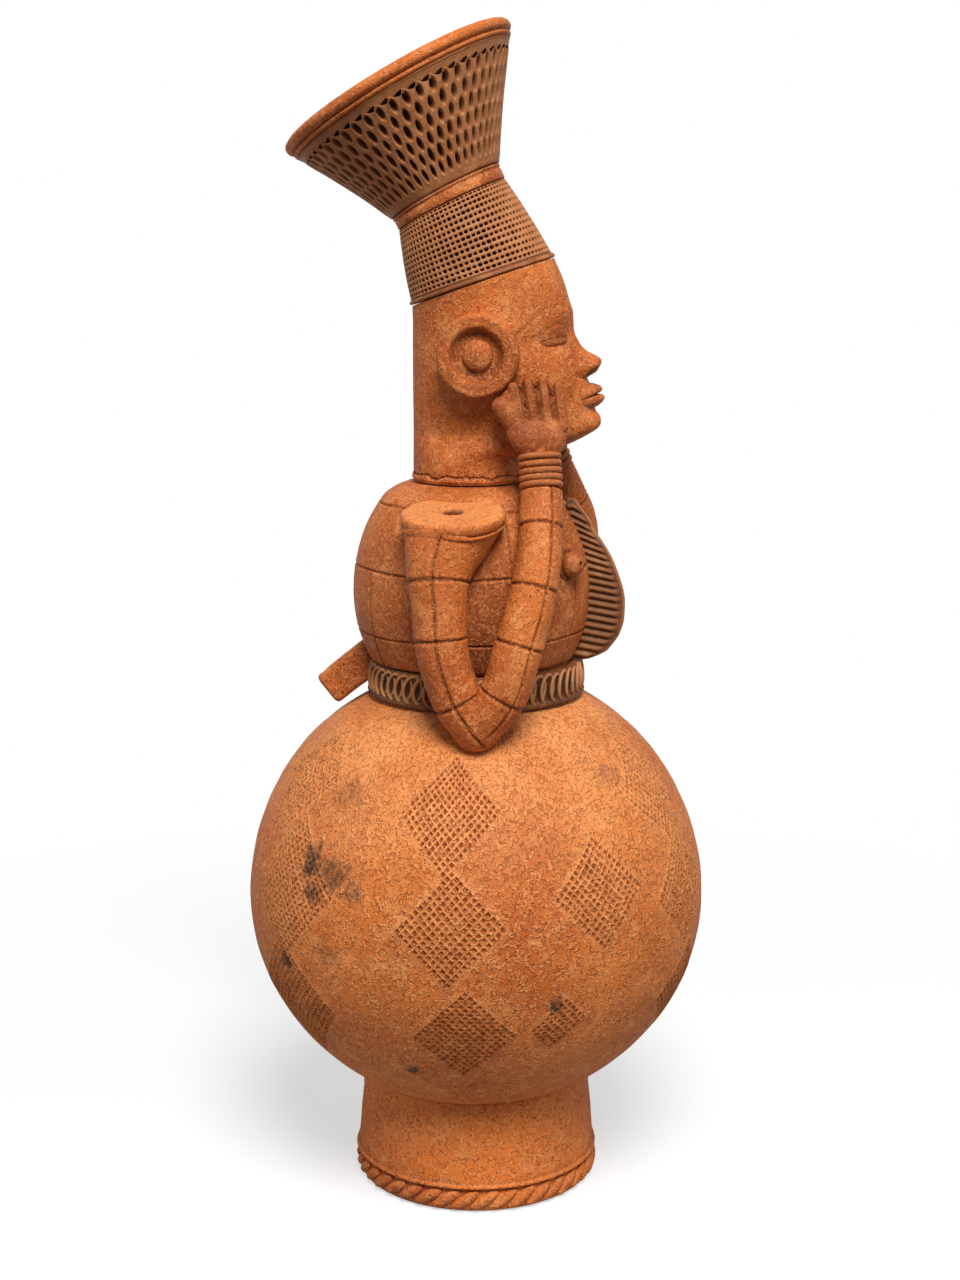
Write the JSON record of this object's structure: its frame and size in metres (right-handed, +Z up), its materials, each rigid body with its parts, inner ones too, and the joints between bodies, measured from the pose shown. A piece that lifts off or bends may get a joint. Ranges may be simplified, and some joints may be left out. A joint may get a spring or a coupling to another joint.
{
  "type": "figural clay jar",
  "caption": "Tall hollow clay jar: a round belly on a flared foot, with a figure's torso, bent arms and head as its neck and a flaring pierced coiffure as its mouth.",
  "frame": {"origin": "centre of the face that the foot ring rests on", "axes": "+Z up; the figure looks along -Y, its left side is +X and its right side is -X"},
  "size_m": [0.1614, 0.1616, 0.4055],
  "materials": {
    "terracotta": "fired orange clay, hand smoothed, half matt",
    "brown_clay": "fired clay stained brown, punched and matt",
    "dark_clay": "fired clay stained dark brown, matt"
  },
  "bodies": {
    "root": {"foot_ring": "terracotta", "foot_rope": "terracotta", "belly": "terracotta", "waist_belt": "dark_clay", "torso": "terracotta", "chest_crest": "dark_clay", "nipple_left": "terracotta", "nipple_right": "terracotta", "back_slab": "terracotta", "head": "terracotta", "nose": "terracotta", "upper_lip": "terracotta", "lower_lip": "terracotta", "upper_eyelid_left": "terracotta", "upper_eyelid_right": "terracotta", "lower_eyelid_left": "terracotta", "lower_eyelid_right": "terracotta", "ear_disc_left": "terracotta", "ear_disc_right": "terracotta", "ear_boss_left": "terracotta", "ear_boss_right": "terracotta", "coiffure_band": "brown_clay", "coiffure_collar": "terracotta", "coiffure_funnel": "brown_clay", "coiffure_rim": "terracotta", "upper_arm_left": "terracotta", "upper_arm_right": "terracotta", "shoulder_cap_left": "terracotta", "shoulder_cap_right": "terracotta", "forearm_left": "terracotta", "forearm_right": "terracotta", "bracelet_1_left": "terracotta", "bracelet_2_left": "terracotta", "bracelet_3_left": "terracotta", "bracelet_4_left": "terracotta", "bracelet_5_left": "terracotta", "bracelet_1_right": "terracotta", "bracelet_2_right": "terracotta", "bracelet_3_right": "terracotta", "bracelet_4_right": "terracotta", "bracelet_5_right": "terracotta", "hand_left": "terracotta", "hand_right": "terracotta"}
  },
  "joints": []
}
